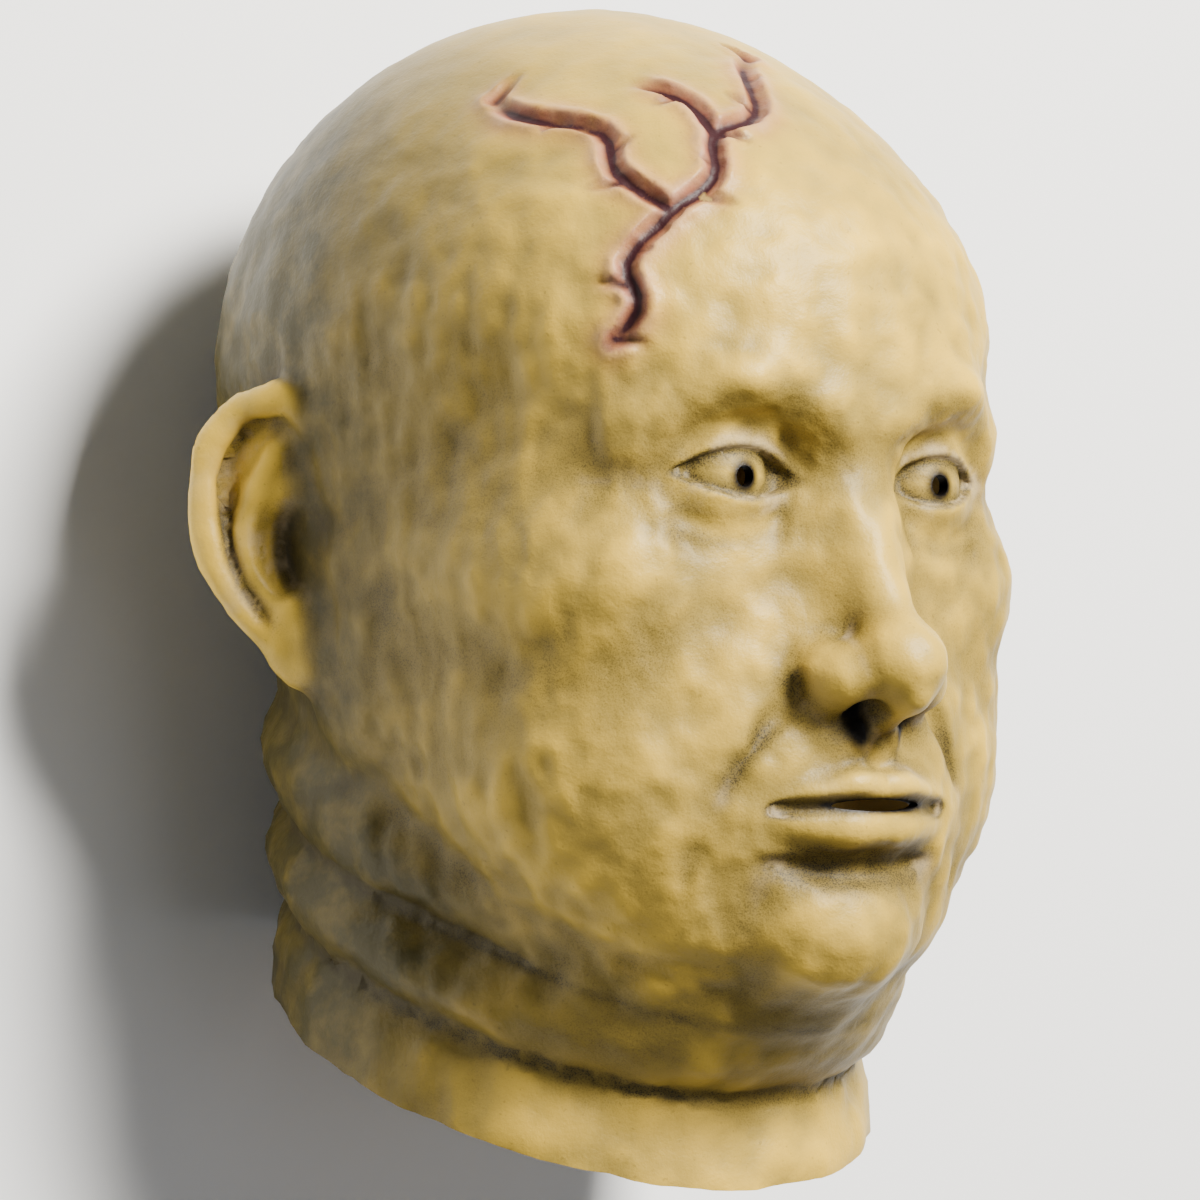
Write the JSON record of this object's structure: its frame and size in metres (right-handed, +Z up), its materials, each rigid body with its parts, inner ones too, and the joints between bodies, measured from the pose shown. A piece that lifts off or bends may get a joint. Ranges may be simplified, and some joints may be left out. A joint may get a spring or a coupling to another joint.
{
  "type": "latex mask",
  "caption": "Hollow full-head latex mask with a bald scalp, ears, a branched scar, small holes at the pupils, nostrils and mouth, and an open flared neck, lying on its back.",
  "frame": {"origin": "on the floor, under the middle of the box round the mask as it lies on its back", "axes": "+X to the mask's own left, +Y from the neck to the crown, +Z up, out of the face"},
  "size_m": [0.2326, 0.3359, 0.2426],
  "materials": {
    "latex": "satin"
  },
  "bodies": {
    "root": {"latex_mask": "latex"}
  },
  "joints": []
}
